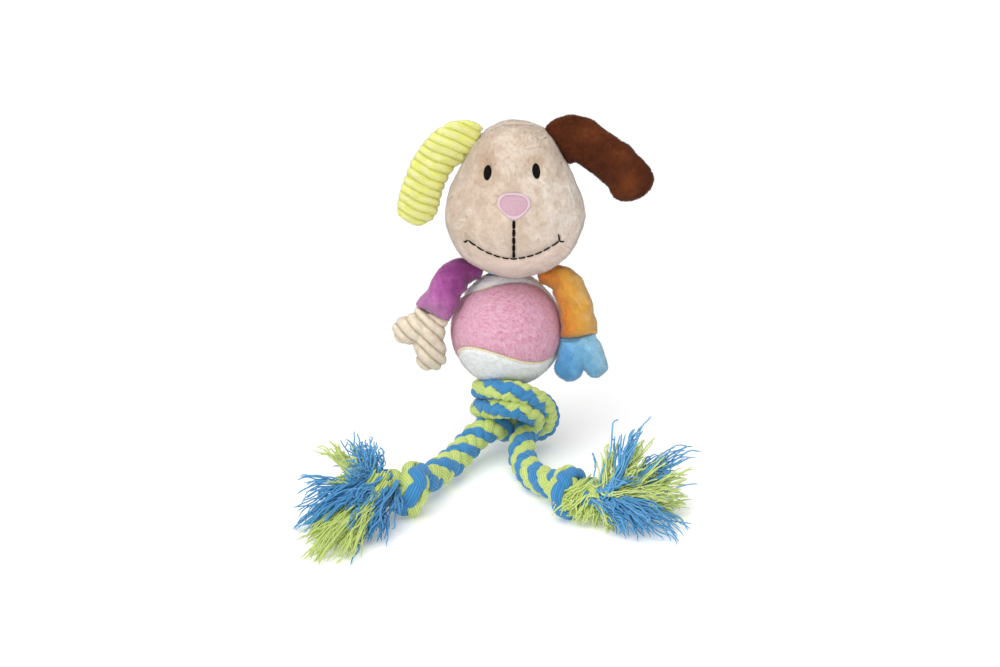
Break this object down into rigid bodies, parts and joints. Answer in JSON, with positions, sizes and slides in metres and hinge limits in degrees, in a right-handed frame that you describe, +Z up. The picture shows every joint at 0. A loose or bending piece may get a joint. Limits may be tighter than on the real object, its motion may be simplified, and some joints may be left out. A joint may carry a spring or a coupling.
{
  "type": "plush dog toy",
  "caption": "Soft dog toy: a stuffed head with floppy ears and mitten arms above a felt-covered ball, strung on a braided rope that is knotted below it into two tasselled legs.",
  "frame": {"origin": "on the floor, in the flat foot of the rope knot, under the rope that runs up through the ball", "axes": "+Z up along the rope through the ball, -Y the way the face looks, +X to the right in the picture (the toy's own left)"},
  "size_m": [0.216, 0.1921, 0.2055],
  "materials": {
    "rope_blue": "round-braided cotton yarn, blue strands",
    "rope_green": "round-braided cotton yarn, lime green strands",
    "rope_yarn": "loose cotton yarns, blue and lime green mixed",
    "ball_rubber": "moulded rubber",
    "felt_pink": "short-napped needle felt",
    "felt_white": "short-napped needle felt",
    "seam_cement": "rubber cement bead",
    "plush_beige": "short-pile plush",
    "stuffing_fibre": "polyester fibre filling",
    "squeaker_plastic": "moulded soft plastic",
    "thread_black": "embroidery thread",
    "thread_pale_pink": "satin-stitched thread",
    "nose_fabric": "woven fabric patch",
    "corduroy_lime": "wide-wale plush corduroy",
    "plush_brown": "short-pile plush",
    "plush_purple": "short-pile plush",
    "corduroy_cream": "wide-wale plush corduroy",
    "corduroy_tan": "wide-wale plush corduroy",
    "plush_orange": "short-pile plush",
    "plush_blue": "short-pile plush"
  },
  "bodies": {
    "rope_knot": {"knot_wrap_strand": "rope_blue", "knot_drop_strand": "rope_green", "neck_rope": "rope_blue"},
    "ball": {"core_half_lower": "ball_rubber", "core_half_upper": "ball_rubber", "felt_pink": "felt_pink", "felt_white": "felt_white", "felt_seam_front": "seam_cement", "felt_seam_back": "seam_cement"},
    "head": {"head_front_panel": "plush_beige", "head_back_panel": "plush_beige", "head_stuffing": "stuffing_fibre", "head_rope_loop": "rope_blue", "squeaker": "squeaker_plastic", "eye_left": "thread_black", "eye_right": "thread_black", "nose_border": "thread_pale_pink", "nose_patch": "nose_fabric", "mouth_stitch": "thread_black"},
    "ear_lime": {"ear_lime_front": "corduroy_lime", "ear_lime_back": "corduroy_lime"},
    "ear_brown": {"ear_brown_front": "plush_brown", "ear_brown_back": "plush_brown"},
    "arm_purple": {"arm_purple": "plush_purple"},
    "hand_cream": {"hand_cream_front": "corduroy_cream", "hand_cream_back": "corduroy_tan"},
    "arm_orange": {"arm_orange": "plush_orange"},
    "hand_blue": {"hand_blue_front": "plush_blue", "hand_blue_back": "plush_blue"},
    "left_leg": {"leg_rope_left": "rope_blue", "end_knot_left": "rope_green", "tassel_left": "rope_yarn"},
    "right_leg": {"leg_rope_right": "rope_blue", "end_knot_right": "rope_green", "tassel_right": "rope_yarn"}
  },
  "joints": [
    {"name": "ball_turns_on_rope", "type": "hinge", "parent": "rope_knot", "child": "ball", "pos_m": [0, 0, 0.0755], "axis": [0, 0, 1], "continuous": true},
    {"name": "head_nods", "type": "hinge", "parent": "rope_knot", "child": "head", "pos_m": [0, 0, 0.1095], "axis": [1, 0, 0], "range_deg": [-14, 14]},
    {"name": "lime_ear_flops", "type": "hinge", "parent": "head", "child": "ear_lime", "pos_m": [-0.02065, 0.003, 0.18789], "axis": [-0.4002, 0, -0.9164], "range_deg": [-28, 28]},
    {"name": "brown_ear_flops", "type": "hinge", "parent": "head", "child": "ear_brown", "pos_m": [0.0294, 0.003, 0.18789], "axis": [0.5, 0, -0.866], "range_deg": [-28, 28]},
    {"name": "purple_arm_swings", "type": "hinge", "parent": "head", "child": "arm_purple", "pos_m": [-0.0215, -0.002, 0.11325], "axis": [1, 0, 0], "range_deg": [-60, 30]},
    {"name": "cream_hand_bends", "type": "hinge", "parent": "arm_purple", "child": "hand_cream", "pos_m": [-0.04404, -0.01214, 0.09018], "axis": [0.88, 0, -0.475], "range_deg": [-25, 25]},
    {"name": "orange_arm_swings", "type": "hinge", "parent": "head", "child": "arm_orange", "pos_m": [0.0266, -0.002, 0.11035], "axis": [1, 0, 0], "range_deg": [-50, 20]},
    {"name": "blue_hand_bends", "type": "hinge", "parent": "arm_orange", "child": "hand_blue", "pos_m": [0.04471, -0.01211, 0.0763], "axis": [0.995, 0, 0.0995], "range_deg": [-25, 25]},
    {"name": "left_leg_lifts", "type": "hinge", "parent": "rope_knot", "child": "left_leg", "pos_m": [-0.0128, -0.0216, 0.0202], "axis": [-0.8601, 0.5101, 0], "range_deg": [0, 40]},
    {"name": "right_leg_lifts", "type": "hinge", "parent": "rope_knot", "child": "right_leg", "pos_m": [0.0086, -0.035, 0.0118], "axis": [-0.9279, -0.3729, 0], "range_deg": [0, 40]}
  ]
}
